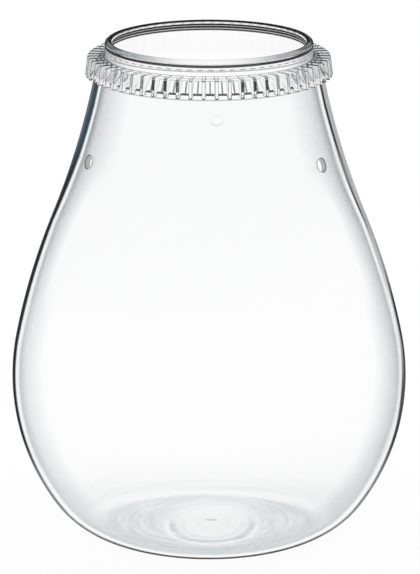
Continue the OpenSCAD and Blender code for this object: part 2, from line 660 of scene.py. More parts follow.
@dataclass(frozen=True)
class ClearFinish:
    """Clear glass or plastic with painted shade that goes dark where its wall is seen edge-on."""

    name: str
    edge: tuple[Stop, ...]
    profiles: tuple[Profile, ...]
    ior: float = GLASS_IOR
    colour: Colour = grey(0.995)
    passed: Colour = grey(0.99)
    shadow_rings: tuple[ShadowRings, ...] = ()
    painted_shadow: Colour = grey(1.0)
    shade_marks: tuple[ShadowRings, ...] = ()
    streaks: float = 0.0
    # The colour of weak painted shade, and the colour of the painted shade on the outer rim of the
    # right (+X) side
    faint_shade: Colour | None = None
    faint_shade_band: tuple[float, float] = SOFT_STEP
    right_rim: Colour | None = None
    widths: Levels = ((0.0, 0.0),)
    clears: Levels = ((0.0, 1.0),)
    dashes: float = 0.0
    rings: tuple[Ring, ...] = ()
    lines: tuple[Slat | Slant, ...] = ()
    ring_panes: float = 2.5
    panes: float = 1.5
    straight_after: float = 99.0
    straight_above: float = TOP
    upward_clear: float = 0.0
    piled: float = 0.0
    inner_shade: float = 0.0
    inner_band: tuple[float, float] = (0.6, 0.75)

    def outer_shade(self, graph: Graph, square: Signal) -> Signal:
        """How much painted shade the wall takes where it is seen from outside.

        Args:
            graph: The material's graph.
            square: How squarely the wall is seen.

        Returns:
            The share of the dark shader.
        """
        width = graph.by_height(self.widths)
        place = (square - width) / (graph.by_height(self.clears) - width)
        shade = self.profiles[0].shade(graph, place)
        for low, high in zip(self.profiles, self.profiles[1:]):
            step = graph.height().ease(low.height, high.height)
            shade = shade.towards(high.shade(graph, place), step)
        if self.dashes:
            shade = shade.most(graph.wave(DASH_STAGGER) * self.dashes)
        return shade

    def shade(self, graph: Graph) -> Signal:
        """How much painted shade the wall takes where it is seen.

        Args:
            graph: The material's graph.

        Returns:
            The share of the dark shader.
        """
        square = graph.squareness()
        shade = self.outer_shade(graph, square)
        if self.inner_shade:
            inside = (1.0 - square.ease(*self.inner_band)) * self.inner_shade
            shade = shade.towards(inside, graph.from_behind())
        if self.upward_clear:
            up = graph.normal()[2].ease(*UPWARD_STEP)
            shade = shade * (1.0 - up * self.upward_clear)
        # Painted shade that grows towards the ends of the ring, where it is seen through more of it
        if self.piled:
            shade = shade + (1.0 - graph.ring_squareness().ease(*PILED_STEP)) * self.piled
        for line in self.lines:
            shade = shade.most(line.line(graph))
        shade = shade * graph.within(self.panes)
        for ring in self.rings:
            shade = shade.most(ring.line(graph) * graph.within(self.ring_panes))
        return shade * (1.0 - graph.spent())

    def straight(self, graph: Graph) -> Signal:
        """Where light goes straight through.

        Args:
            graph: The material's graph.

        Returns:
            The mask.
        """
        mask = graph.passing(self.straight_after)
        if self.straight_above < TOP:
            above = graph.height().over(self.straight_above) * (1.0 - graph.from_behind())
            mask = mask.most(above * graph.within(FIRST_ONLY))
        return mask

    def clear_colour(self, graph: Graph) -> Signal | Colour:
        """The colour of the clear glass, with painted shadow mixed in, which may change in rings.

        Args:
            graph: The material's graph.

        Returns:
            The colour.
        """
        if not self.shadow_rings:
            return self.colour
        share = 1.0 - self.streaks * graph.streaks(across=0.45, along=1.6)
        for painted_shadow in self.shadow_rings:
            share = share * painted_shadow.share(graph)
        for shade_mark in self.shade_marks:
            share = share.most(shade_mark.share(graph))
        return graph.between(share, self.colour, self.painted_shadow)

    def edge_colour(self, graph: Graph, shade: Signal) -> Signal | Colour:
        """The colour of the painted shade at the edge, which may change with the height and where
        it is weak, and on the right rim.

        Args:
            graph: The material's graph.
            shade: How dark the edge is.

        Returns:
            The colour.
        """
        colour = graph.by_height(self.edge) if len(self.edge) > 1 else self.edge[0][1]
        if self.faint_shade:
            colour = graph.between(shade.ease(*self.faint_shade_band), self.faint_shade, colour)
        if self.right_rim:
            depth = graph.squareness() - graph.by_height(self.widths)
            right = graph.normal()[0].ease(*SOFT_STEP)
            outer = 1.0 - depth.ease(0.0, RIM_DEPTH)
            colour = graph.between(outer * right, colour, self.right_rim)
        return colour

    def material(self) -> bpy.types.Material:
        """Builds the material.

        Returns:
            The new material.
        """
        made, graph = new_material(self.name)
        glass = {"IOR": self.ior, "Transmission Weight": 1.0}
        clear = graph.principled(self.clear_colour(graph), 0.0, glass)
        shade = self.shade(graph)
        dark = graph.principled(
            self.edge_colour(graph, shade), EDGE_ROUGHNESS, {"Specular IOR Level": 0.0}
        )
        through = graph.mix(self.straight(graph), clear, graph.open_way(self.passed))
        graph.finish(graph.mix(shade, through, dark))
        return made


@dataclass(frozen=True)
class GroundFinish:
    """Glass left rough by a drill."""

    name: str
    colour: Colour
    roughness: float
    ior: float = GLASS_IOR
    clearness: float = 0.6
    deep_after: float = 1.5
    deep_clear: float = 0.75
    passed: Colour = grey(0.98)

    def material(self) -> bpy.types.Material:
        """Builds the material.

        Returns:
            The new material.
        """
        made, graph = new_material(self.name)
        glass = {"IOR": self.ior, "Transmission Weight": self.clearness}
        ground = graph.principled(self.colour, self.roughness, glass)
        share = graph.to_floor().most((1.0 - graph.within(self.deep_after)) * self.deep_clear)
        graph.finish(graph.mix(share, ground, graph.open_way(self.passed)))
        return made


@dataclass(frozen=True)
class MattFinish:
    """A plain matt surface."""

    name: str
    colour: Colour

    def material(self) -> bpy.types.Material:
        """Builds the material.

        Returns:
            The new material.
        """
        made, graph = new_material(self.name)
        graph.finish(graph.principled(self.colour, 1.0, {"Specular IOR Level": 0.0}))
        return made


class Bow(Enum):
    """Which way an arc of the outline curves."""

    OUT = 1
    HOLLOW = -1


def outward(slope: np.ndarray | float) -> np.ndarray:
    """Outward direction of the surface at a slope from the vertical.

    Args:
        slope: One slope or several, in degrees.

    Returns:
        Radius and height parts along the last axis.
    """
    angle = np.radians(slope)
    return np.stack([np.cos(angle), np.sin(angle)], axis=-1)


def sweep(start: float, end: float, radius: float, chord: float) -> np.ndarray:
    """Angles along an arc, both ends included.

    Args:
        start: First angle, in degrees.
        end: Last angle, in degrees.
        radius: The arc's radius, in mm.
        chord: The largest step along it, in mm.

    Returns:
        The angles, in degrees.
    """
    steps = max(2, math.ceil(math.radians(abs(end - start)) * radius / chord))
    return np.linspace(start, end, steps + 1)


def curve_rows(points: np.ndarray) -> np.ndarray:
    """Adds normals, to the left of the way along, to the points of a curve.

    Args:
        points: Radius and height of each point.

    Returns:
        Rows of radius, height and the two parts of the normal.
    """
    along = np.gradient(points, axis=0)
    along /= np.linalg.norm(along, axis=1, keepdims=True)
    return np.hstack([points, np.stack([-along[:, 1], along[:, 0]], axis=1)])


@dataclass(frozen=True)
class Arc:
    """One arc of the outline, between two slopes in degrees from the vertical."""

    radius: float
    bow: Bow
    start: float
    end: float

    def below(self, joint: np.ndarray) -> np.ndarray:
        """The joint at its lower end, from the joint at its upper end."""
        return joint + self.bow.value * self.radius * (outward(self.end) - outward(self.start))

    def rows(self, joint: np.ndarray, inset: float, chord: float) -> np.ndarray:
        """Points along the arc, moved inwards.

        Args:
            joint: The joint at its upper end.
            inset: How far the points move inwards, in mm.
            chord: The largest step, in mm.

        Returns:
            Rows of radius, height and the two parts of the normal.
        """
        bow = self.bow.value
        slopes = sweep(self.start, self.end, self.radius, chord)
        normals = outward(slopes)
        centre = joint - bow * self.radius * outward(self.start)
        return np.hstack([centre + bow * (self.radius - bow * inset) * normals, normals])


@dataclass(frozen=True)
class Outline:
    """The vessel's outside, as arcs that meet without a corner. Sizes in mm."""

    height: float = 192.0
    belly_d: float = 150.0
    neck_d: float = 78.0
    neck_h: float = 7.0
    ledge_d: float = 85.6
    ledge_slope: float = 60.0
    shoulder_slope: float = 11.5
    shoulder_r: float = 308.0
    waist_slope: float = 22.2
    flank_slope: float = 11.5
    belly_r: float = 81.7
    heel_slope: float = 35.2
    chord: float = 2.4
    arc_parts: int = 8

    @property
    def neck_r(self) -> float:
        """Outside radius of the neck."""
        return self.neck_d / 2

    @property
    def neck_end(self) -> np.ndarray:
        """Radius and height at the lower end of the neck."""
        return np.array([self.neck_r, self.height - self.neck_h])

    def upper_arcs(self) -> list[Arc]:
        """The arcs above the heel.

        Returns:
            The arcs, from the neck down.
        """
        ledge, top, waist, flank = (
            math.cos(math.radians(slope))
            for slope in (self.ledge_slope, self.shoulder_slope, self.waist_slope, self.flank_slope)
        )
        ledge_r = (self.ledge_d - self.neck_d) / 2 / (1 - 2 * ledge + top)
        waist_at_r = self.ledge_d / 2 + self.shoulder_r * (top - waist)
        flank_r = (self.belly_d / 2 - waist_at_r - self.belly_r * (1 - flank)) / (flank - waist)
        return [
            Arc(ledge_r, Bow.HOLLOW, 0.0, self.ledge_slope),
            Arc(ledge_r, Bow.OUT, self.ledge_slope, self.shoulder_slope),
            Arc(self.shoulder_r, Bow.HOLLOW, self.shoulder_slope, self.waist_slope),
            Arc(flank_r, Bow.OUT, self.waist_slope, self.flank_slope),
            Arc(self.belly_r, Bow.OUT, self.flank_slope, -self.heel_slope),
        ]

    def heel_top(self) -> np.ndarray:
        """The joint at which the heel begins.

        Returns:
            Its radius and height.
        """
        joint = self.neck_end
        for arc in self.upper_arcs():
            joint = arc.below(joint)
        return joint

    @property
    def heel_r(self) -> float:
        """Radius of the heel's curve."""
        return self.heel_top()[1] / (1 - math.sin(math.radians(self.heel_slope)))

    @property
    def foot_r(self) -> float:
        """Radius at which the heel meets the ground."""
        return self.heel_top()[0] - self.heel_r * math.cos(math.radians(self.heel_slope))

    def arcs(self) -> list[Arc]:
        """All arcs from the neck to the ground."""
        return [*self.upper_arcs(), Arc(self.heel_r, Bow.OUT, -self.heel_slope, -90.0)]

    def rows(self, inset: float) -> np.ndarray:
        """Points of the outline from the neck's lower end to the ground.

        Args:
            inset: How far the points move inwards, in mm.

        Returns:
            Rows of radius, height and the two parts of the outward normal.
        """
        joint = self.neck_end
        parts = []
        for arc in self.arcs():
            rows = arc.rows(joint, inset, min(self.chord, arc.radius / self.arc_parts))
            parts.append(rows[1:] if parts else rows)
            joint = arc.below(joint)
        return np.vstack(parts)

    def shoulder(self, z: float) -> tuple[float, float]:
        """Where the shoulder is at a height.

        Args:
            z: The height, on the shoulder's hollow curve.

        Returns:
            The outside radius, and the slope in degrees.
        """
        arcs = self.arcs()
        joint = arcs[1].below(arcs[0].below(self.neck_end))
        centre = joint + self.shoulder_r * outward(self.shoulder_slope)
        drop = centre[1] - z
        radius = centre[0] - math.sqrt(self.shoulder_r**2 - drop**2)
        return radius, math.degrees(math.asin(drop / self.shoulder_r))


def turn(rows: np.ndarray, segments: int) -> tuple[np.ndarray, list[tuple[int, ...]]]:
    """Turns a line of points round the Z axis.

    Args:
        rows: Points whose first two columns are radius and height; an end on the axis closes.
        segments: The number of steps round.

    Returns:
        The vertices, and the faces as vertex numbers.
    """
    angles = np.linspace(0, 2 * math.pi, segments, endpoint=False)
    ring = np.stack([np.cos(angles), np.sin(angles)], axis=1)
    vertices: list[np.ndarray] = []
    starts: list[int] = []
    count = 0
    for radius, height in rows[:, :2]:
        starts.append(count)
        if radius < ON_AXIS:
            vertices.append(np.array([[0.0, 0.0, height]]))
            count += 1
        else:
            vertices.append(np.hstack([ring * radius, np.full((segments, 1), height)]))
            count += segments
    faces: list[tuple[int, ...]] = []
    for k in range(len(rows) - 1):
        low, high = starts[k], starts[k + 1]
        for j in range(segments):
            n = (j + 1) % segments
            if rows[k, 0] < ON_AXIS:
                faces.append((low, high + n, high + j))
            elif rows[k + 1, 0] < ON_AXIS:
                faces.append((low + j, low + n, high))
            else:
                faces.append((low + j, low + n, high + n, high + j))
    return np.vstack(vertices), faces


def put_in_scene(name: str, data: bpy.types.ID) -> bpy.types.Object:
    """Makes an object of a mesh or a camera and links it to the scene.

    Args:
        name: The object's name.
        data: The mesh or camera.

    Returns:
        The new object.
    """
    made = bpy.data.objects.new(name, data)
    bpy.context.collection.objects.link(made)
    return made


def mesh_object(
    name: str, vertices: np.ndarray, faces: Sequence[tuple[int, ...]]
) -> bpy.types.Object:
    """Makes an object from vertices in mm, with its faces turned outwards.

    Args:
        name: The object's name.
        vertices: The vertices, in mm.
        faces: The faces, as vertex numbers.

    Returns:
        The new object, in the scene.
    """
    mesh = bpy.data.meshes.new(name)
    mesh.from_pydata((np.asarray(vertices) * MM).tolist(), [], [list(face) for face in faces])
    editable = bmesh.new()
    editable.from_mesh(mesh)
    bmesh.ops.recalc_face_normals(editable, faces=editable.faces)
    editable.to_mesh(mesh)
    editable.free()
    return put_in_scene(name, mesh)


class Zone(Enum):
    """The stretches of the vessel's section, each with its own finish."""

    WALL = 0
    INSIDE = 1
    LIP = 2
    CREASE = 3
    FLOOR = 4
    BORE = 5
    NECK = 6
    RIM = 7
    CHAMFER = 8


class Mould(Enum):
    """The stretches of the collar, each with its own finish."""

    PLAIN = 0
    FOOT = 1
    CORNER = 2
    TIP = 3
    FLANK = 4
    TOP = 5


class Join(Enum):
    """How one solid is joined to another."""

    ADD = "UNION"
    CUT = "DIFFERENCE"


def join(base: bpy.types.Object, tool: bpy.types.Object, how: Join) -> None:
    """Joins a solid to another and deletes it.

    Args:
        base: The solid that is changed.
        tool: The solid that is added or cut out.
        how: Which of the two.
    """
    modifier = base.modifiers.new("join", "BOOLEAN")
    modifier.operation = how.value
    modifier.solver = "EXACT"
    modifier.object = tool
    shape = base.evaluated_get(bpy.context.evaluated_depsgraph_get())
    joined = bpy.data.meshes.new_from_object(shape)
    base.modifiers.clear()
    base.data = joined
    bpy.data.objects.remove(tool)


@dataclass(frozen=True)
class Ripple:
    """A ring that the floor keeps from being blown, raised or sunk. Sizes in mm."""

    radius: float
    depth: float
    width: float


@dataclass
class GlassVessel:
    """The blown vessel: lip, neck, ledge, belly, base and drilled holes. Sizes in mm."""

    outline: Outline = field(default_factory=Outline)
    wall: float = 2.2
    lip_d: float = 2.8
    punt_d: float = 44.0
    punt_rise: float = 1.6
    floor_rise: float = 2.2
    ripples: tuple[Ripple, ...] = (
        Ripple(radius=0.0, depth=0.6, width=1.5),
        Ripple(radius=16.5, depth=-0.3, width=2.2),
        Ripple(radius=27.0, depth=0.12, width=3.0),
        Ripple(radius=41.0, depth=0.35, width=2.0),
    )
    floor_turn: float = 45.0
    floor_top: float = 20.0
    floor_gap: float = 0.5
    neck_foot: float = 181.0
    crease_from: float = 210.0
    hole_count: int = 3
    hole_d: float = 5.0
    hole_z: float = 150.3
    hole_chamfer: float = 0.3
    hole_reach: float = 0.9
    hole_depth: float = 5.0
    drill_flare: float = 1.25
    chamfer_slant: float = 0.3
    face_slant: float = 0.85
    lip_chord: float = 0.12
    floor_steps: int = 128
    punt_steps: int = 48
    drill_segments: int = 48
    segments: int = 192

    def floor_rows(self) -> np.ndarray:
        """The floor inside, from its middle to the foot of the wall.

        Returns:
            Rows of radius, height and normal.
        """
        foot_r = self.outline.foot_r
        turned = 2 * math.atan(self.floor_rise / foot_r)
        heel_r = self.outline.heel_r - self.wall
        swell_r = foot_r / math.sin(turned) - heel_r
        swell_end = swell_r * math.sin(turned)
        end = foot_r + heel_r * math.sin(math.radians(self.floor_turn))
        radius = np.linspace(0.0, end, self.floor_steps)
        near, far = np.minimum(radius, swell_end), np.maximum(radius, swell_end)
        swell = self.wall + self.floor_rise - swell_r + np.sqrt(swell_r**2 - near**2)
        heel = self.outline.heel_r - np.sqrt(heel_r**2 - (foot_r - far) ** 2)
        height = np.where(radius < swell_end, swell, heel)
        for ripple in self.ripples:
            off = (radius - ripple.radius) / ripple.width
            height = height + ripple.depth * np.exp(-(off**2))
        return curve_rows(np.stack([radius, height], axis=1))

    def punt_rows(self) -> np.ndarray:
        """The underside, from the foot to its middle.

        Returns:
            Rows of radius, height and normal.
        """
        radius = np.linspace(self.outline.foot_r, 0.0, self.punt_steps)
        part = np.minimum(radius / (self.punt_d / 2), 1.0)
        height = self.punt_rise * (0.5 + 0.5 * np.cos(math.pi * part))
        return curve_rows(np.stack([radius, height], axis=1))

    def lip_rows(self) -> np.ndarray:
        """The round bead of the lip, from the inside of the neck to its outside.

        Returns:
            Rows of radius, height and normal.
        """
        lip_r = self.lip_d / 2
        centre = np.array([self.outline.neck_r - lip_r, self.outline.height - lip_r])
        inner = 360 - math.degrees(math.acos((lip_r - self.wall) / lip_r))
        normals = outward(sweep(inner, 0.0, lip_r, self.lip_chord))
        return np.hstack([centre + lip_r * normals, normals])

    def lip_zone(self, row: np.ndarray) -> Zone:
        """The zone of a row of the lip.

        Args:
            row: Radius, height and normal.

        Returns:
            The crease under its inside, its inner rim, or its outside.
        """
        if row[3] < 0 and row[2] > math.cos(math.radians(self.crease_from)):
            return Zone.CREASE
        return Zone.RIM if row[2] < 0 else Zone.LIP

    def section(self) -> tuple[np.ndarray, list[Zone]]:
        """The whole section, from the middle of the floor round to that of the underside.

        Returns:
            Rows of radius, height and normal, and the zone of each row.
        """
        floor = self.floor_rows()
        inside = self.outline.rows(self.wall)[::-1] * np.array([1, 1, -1, -1])
        inside = inside[inside[:, 1] > floor[-1, 1] + self.floor_gap]
        lip = self.lip_rows()
        outside = self.outline.rows(0.0)
        punt = self.punt_rows()[1:]
        zones = [Zone.FLOOR] * len(floor)
        zones += [Zone.FLOOR if row[1] < self.floor_top else Zone.INSIDE for row in inside]
        zones += [self.lip_zone(row) for row in lip]
        zones += [Zone.NECK if row[1] > self.neck_foot else Zone.WALL for row in outside]
        zones += [Zone.WALL] * len(punt)
        return np.vstack([floor, inside, lip, outside, punt]), zones

    def hole_frames(self) -> list[Matrix]:
        """A frame at the outside end of each hole, with Z outwards along it.

        Returns:
            One matrix per hole, in metres.
        """
        radius, slope = self.outline.shoulder(self.hole_z)
        return [
            Matrix.Rotation(math.radians(-FRONT + k * 360 / self.hole_count), 4, "Z")
            @ Matrix.Translation(Vector((radius, 0.0, self.hole_z)) * MM)
            @ Matrix.Rotation(math.radians(90 - slope), 4, "Y")
            for k in range(self.hole_count)
        ]

    def drill(self, where: Matrix) -> bpy.types.Object:
        """The shape that a drill and its chamfers take out of the wall.

        Args:
            where: The hole's frame.

        Returns:
            The cutter.
        """
        hole_r, flare, chamfer = self.hole_d / 2, self.drill_flare, self.hole_chamfer
        rows = np.array(
            [
                [0.0, chamfer - self.wall - flare],
                [hole_r + flare, chamfer - self.wall - flare],
                [hole_r, chamfer - self.wall],
                [hole_r, -chamfer],
                [hole_r + flare, flare - chamfer],
                [0.0, flare - chamfer],
            ]
        )
        cutter = mesh_object("drill", *turn(rows, self.drill_segments))
        cutter.data.transform(where)
        return cutter

    def shade(self, piece: bpy.types.Object, section: np.ndarray, zones: Sequence[Zone]) -> int:
        """Gives the glass the normals of its true curves, and each zone its material.

        Args:
            piece: The vessel.
            section: The section that it was turned from.
            zones: The zone of each row of the section.

        Returns:
            The number of faces in the hole walls.
        """
        mesh = piece.data
        tree = KDTree(len(section))
        for k, row in enumerate(section):
            tree.insert((row[0] * MM, 0.0, row[1] * MM), k)
        tree.balance()
        frames = [(where, where.inverted()) for where in self.hole_frames()]
        normals = [Vector((0.0, 0.0, 1.0))] * len(mesh.loops)
        ground = 0
        for face in mesh.polygons:
            face.use_smooth = True
            hole = self.hole_of(face, frames)
            for loop in face.loop_indices:
                spot = mesh.vertices[mesh.loops[loop].vertex_index].co
                if hole:
                    normals[loop] = self.bore_normal(spot, face.normal, *hole)
                else:
                    normals[loop], _ = self.turned_normal(spot, face.normal, tree, section)
            if hole:
                slant = abs((hole[1].to_3x3() @ face.normal).z)
                zone = Zone.CHAMFER if slant > self.chamfer_slant else Zone.BORE
                ground += 1
            else:
                _, row = self.turned_normal(face.center, face.normal, tree, section)
                zone = zones[row]
            face.material_index = zone.value
        mesh.normals_split_custom_set(normals)
        return ground

    def hole_of(
        self, face: bpy.types.MeshPolygon, frames: Sequence[tuple[Matrix, Matrix]]
    ) -> tuple[Matrix, Matrix] | None:
        """The hole whose wall a face belongs to.

        Args:
            face: The face.
            frames: Each hole's frame and its inverse.

        Returns:
            The hole's frame and its inverse, or nothing.
        """
        reach = (self.hole_d / 2 + self.hole_reach) * MM
        for where, back in frames:
            local = back @ face.center
            axis = where.to_3x3() @ Vector((0.0, 0.0, 1.0))
            inside = math.hypot(local.x, local.y) < reach and abs(local.z) < self.hole_depth * MM
            if inside and abs(axis.dot(face.normal)) < self.face_slant:
                return where, back
        return None

    @staticmethod
    def bore_normal(spot: Vector, flat: Vector, where: Matrix, back: Matrix) -> Vector:
        """The normal of a hole's wall or chamfer.

        Args:
            spot: A point on it.
            flat: The normal of the face.
            where: The hole's frame.
            back: The inverse of that.

        Returns:
            The normal at the point.
        """
        local = back @ spot
        along = (back.to_3x3() @ flat).z
        inwards = -Vector((local.x, local.y, 0.0)).normalized()
        return where.to_3x3() @ (inwards * math.sqrt(1 - along**2) + Vector((0.0, 0.0, along)))

    @staticmethod
    def turned_normal(
        spot: Vector, flat: Vector, tree: KDTree, section: np.ndarray
    ) -> tuple[Vector, int]:
        """The normal of the turned surface.

        Args:
            spot: A point on it.
            flat: The normal of the face.
            tree: The section's points.
            section: The section's rows.

        Returns:
            The normal at the point, and the row of the section that it lies at.
        """
        radius = math.hypot(spot.x, spot.y)
        out = Vector((spot.x, spot.y, 0.0)) / max(radius, ON_AXIS)
        best, best_row = flat, -1
        for _, row, _ in tree.find_n((radius, 0.0, spot.z), NEIGHBOURS):
            normal = (out * section[row, 2] + Vector((0.0, 0.0, section[row, 3]))).normalized()
            if best_row < 0 or normal.dot(flat) > best.dot(flat) + CLEARLY:
                best, best_row = normal, row
        return best, best_row

    def build(self, finishes: Mapping[Zone, bpy.types.Material]) -> bpy.types.Object:
        """Turns, drills and dresses the vessel.

        Args:
            finishes: The material of each zone.

        Returns:
            The piece.
        """
        section, zones = self.section()
        piece = mesh_object("blown_vessel", *turn(section, self.segments))
        for where in self.hole_frames():
            join(piece, self.drill(where), Join.CUT)
        piece.data.name = "blown_vessel"
        piece.data.materials.clear()
        for zone in Zone:
            piece.data.materials.append(finishes[zone])
        faces = self.shade(piece, section, zones)
        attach(piece, "vessel")
        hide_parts("glass_vessel")
        total = len(piece.data.polygons)
        LOG.info("blown_vessel: %d faces, %d of them in hole walls", total, faces)
        return piece


@dataclass
class FinnedCollar:
    """The clear collar: a sleeve on the neck's ledge with upright fins round it. Sizes in mm."""

    outline: Outline = field(default_factory=Outline)
    collar_h: float = 7.3
    collar_drop: float = 5.7
    top_d: float = 91.0
    foot_d: float = 92.7
    fin_chamfer: float = 0.5
    fin_count: int = 60
    fin_root: float = 1.6
    fin_tip: float = 1.2
    fin_past: float = 1.0
    fin_round: float = 0.16
    fin_round_steps: int = 2
    sleeve_t: float = 1.0
    foot_drop: float = 1.0
    foot_edge: float = 0.75
    seat_gap: float = 0.3
    turned: float = 1.0
    faced: float = 0.9
    upright: float = 0.8
    sharp_angle: float = 40.0
    near: float = 0.25
    row_gap: float = 0.05
    segments: int = 240

    @property
    def top_z(self) -> float:
        """Height of the collar's top."""
        return self.outline.height - self.collar_drop

    @property
    def foot_z(self) -> float:
        """Height of the fins' feet."""
        return self.top_z - self.collar_h

    @property
    def bore_r(self) -> float:
        """Radius of the bore at the neck."""
        return self.outline.neck_r + self.seat_gap

    @property
    def sleeve_foot_r(self) -> float:
        """Outside radius of the sleeve at its foot."""
        return self.outline.shoulder(self.foot_z)[0] + self.seat_gap + self.sleeve_t

    def sleeve(self) -> bpy.types.Object:
        """The sleeve, whose bore follows the neck and the ledge.

        Returns:
            The sleeve alone.
        """
        foot_z = self.foot_z + self.foot_drop
        outline = self.outline.rows(-self.seat_gap)[:, :2]
        foot_bore = np.interp(foot_z, outline[::-1, 1], outline[::-1, 0])
        part = self.foot_edge / (self.top_z - foot_z)
        edge_r = self.sleeve_foot_r + part * (self.bore_r + self.sleeve_t - self.sleeve_foot_r)
        rows = np.vstack(
            [
                [self.bore_r, self.top_z],
                outline[outline[:, 1] > foot_z + self.row_gap],
                [foot_bore, foot_z],
                [self.sleeve_foot_r, foot_z],
                [edge_r, foot_z + self.foot_edge],
                [self.bore_r + self.sleeve_t, self.top_z],
            ]
        )
        vertices, faces = turn(rows, self.segments)
        last = (len(rows) - 1) * self.segments
        for j in range(self.segments):
            n = (j + 1) % self.segments
            faces.append((last + j, last + n, n, j))
        return mesh_object("sleeve", vertices, faces)

    def fin(self) -> bpy.types.Mesh:
        """One fin along +X, with rounded edges and the stretches of its faces.

        Returns:
            The mesh, in metres.
        """
        top_r, foot_r = self.top_d / 2, self.foot_d / 2
        side = [
            (self.sleeve_foot_r - self.sleeve_t / 2, self.foot_z),
            (foot_r, self.foot_z),
            (top_r, self.top_z - self.fin_chamfer),
            (top_r - self.fin_chamfer, self.top_z),
            (self.bore_r + self.sleeve_t / 2, self.top_z),
        ]
        reach = [self.outline.neck_r, foot_r + self.fin_past]
        widths = [self.fin_root, self.fin_tip]
        half = [np.interp(r, reach, widths) / 2 for r, _ in side]
        editable = bmesh.new()
        left, right = (
            [editable.verts.new((r * MM, hand * w * MM, z * MM)) for (r, z), w in zip(side, half)]
            for hand in (-1, 1)
        )
        editable.faces.new(left)
        editable.faces.new(right[::-1])
        for k in range(len(side)):
            n = (k + 1) % len(side)
            editable.faces.new((left[k], right[k], right[n], left[n]))
        corners = bmesh.ops.bevel(
            editable,
            geom=list(editable.edges),
            offset=self.fin_round * MM,
            segments=self.fin_round_steps,
            profile=0.5,
            affect="EDGES",
        )
        bmesh.ops.recalc_face_normals(editable, faces=editable.faces)
        for face in editable.faces:
            x, y, z = face.normal
            faced = {Mould.TIP: x, Mould.FLANK: abs(y), Mould.TOP: z}
            stretch = max(faced, key=faced.get)
            square = faced[stretch] > self.faced
            face.material_index = (stretch if square else Mould.PLAIN).value
        for face in corners["faces"]:
            face.material_index = Mould.CORNER.value
        one = bpy.data.meshes.new("fin")
        editable.to_mesh(one)
        editable.free()
        return one

    def fins(self) -> bpy.types.Object:
        """All fins, in a ring.

        Returns:
            The fins alone.
        """
        one = self.fin()
        ring = bmesh.new()
        for k in range(self.fin_count):
            copy = one.copy()
            angle = FRONT + self.turned + k * 360 / self.fin_count
            copy.transform(Matrix.Rotation(math.radians(angle), 4, "Z"))
            ring.from_mesh(copy)
            bpy.data.meshes.remove(copy)
        mesh = bpy.data.meshes.new("fins")
        ring.to_mesh(mesh)
        ring.free()
        return put_in_scene("fins", mesh)

    def paint_foot_shade(self, piece: bpy.types.Object) -> int:
        """Gives the lower edge of the sleeve its own material, a painted dark line of shade.

        Args:
            piece: The collar.

        Returns:
            The number of faces in it.
        """
        low = self.foot_z + self.foot_drop
        marked = 0
        for face in piece.data.polygons:
            radius, height = math.hypot(face.center.x, face.center.y) / MM, face.center.z / MM
            on_sleeve = abs(radius - self.sleeve_foot_r) < self.near
            in_edge = low < height < low + self.foot_edge
            if on_sleeve and in_edge and abs(face.normal.z) < self.upright:
                face.material_index = Mould.FOOT.value
                marked += 1
        return marked

    def build(self, finishes: Mapping[Mould, bpy.types.Material]) -> bpy.types.Object:
        """Moulds and dresses the collar.

        Args:
            finishes: The material of each stretch.

        Returns:
            The piece.
        """
        piece, fins = self.sleeve(), self.fins()
        for solid in (piece, fins):
            for stretch in Mould:
                solid.data.materials.append(finishes[stretch])
        join(piece, fins, Join.ADD)
        piece.name = piece.data.name = "moulded_collar"
        marked = self.paint_foot_shade(piece)
        for face in piece.data.polygons:
            face.use_smooth = True
        piece.data.set_sharp_from_angle(angle=math.radians(self.sharp_angle))
        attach(piece, "collar")
        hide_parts("finned_collar")
        total = len(piece.data.polygons)
        LOG.info("moulded_collar: %d faces, %d of them in its foot line", total, marked)
        return piece


@dataclass(frozen=True)
class Studio:
    """The white room, the floor and the camera. Sizes in mm and degrees."""

    floor_size: float = 8000.0
    floor_gap: float = 0.05
    room_light: float = 1.0
    azimuth: float = 3.5
    elevation: float = 15.2
    distance: float = 1500.0
    middle_z: float = 95.0
    aim_right: float = 0.35
    aim_z: float = 96.2
    focal_px: float = 3950.0
    frame_height_px: float = 574.0
    sensor: float = 36.0
    clip_end: float = 100.0

    def build_room(self) -> None:
        """Lights the scene from all sides with the same white."""
        room = bpy.data.worlds.new("white_room")
        bpy.context.scene.world = room
        graph = new_graph(room)
        white = {"Color": (*grey(1.0), 1.0), "Strength": self.room_light}
        light = graph.add("ShaderNodeBackground", {}, white)
        graph.add("ShaderNodeOutputWorld", {}, {"Surface": light.outputs["Background"]})

    def build_floor(self, finish: MattFinish) -> bpy.types.Object:
        """Lays the floor.

        Args:
            finish: Its finish.

        Returns:
            The floor.
        """
        half = self.floor_size / 2
        z = -self.floor_gap
        corners = np.array([[-half, -half, z], [half, -half, z], [half, half, z], [-half, half, z]])
        floor = mesh_object("floor", corners, [(0, 1, 2, 3)])
        floor.data.materials.append(finish.material())
        return floor

    def build_camera(self) -> bpy.types.Object:
        """Sets up the camera at the photograph's viewpoint.

        Returns:
            The camera.
        """
        data = bpy.data.cameras.new("camera")
        data.sensor_width = self.sensor
        data.lens = self.focal_px * self.sensor / self.frame_height_px
        data.clip_end = self.clip_end
        camera = put_in_scene("camera", data)
        rise = math.radians(self.elevation)
        spin = Matrix.Rotation(math.radians(self.azimuth), 4, "Z")
        up = self.middle_z + self.distance * math.sin(rise)
        place = Vector((0, -self.distance * math.cos(rise), up))
        aim = Vector((self.aim_right, 0, self.aim_z))
        camera.location = spin @ place * MM
        camera.rotation_euler = (spin @ (aim - place)).to_track_quat("-Z", "Y").to_euler()
        bpy.context.scene.camera = camera
        return camera


def plain(colour: Colour) -> tuple[Stop, ...]:
    """The same colour at every height."""
    return ((0.0, colour),)


def even(*rows: tuple[float, float]) -> tuple[Profile, ...]:
    """The same edge at every height and on both sides."""
    return (Profile(rows),)
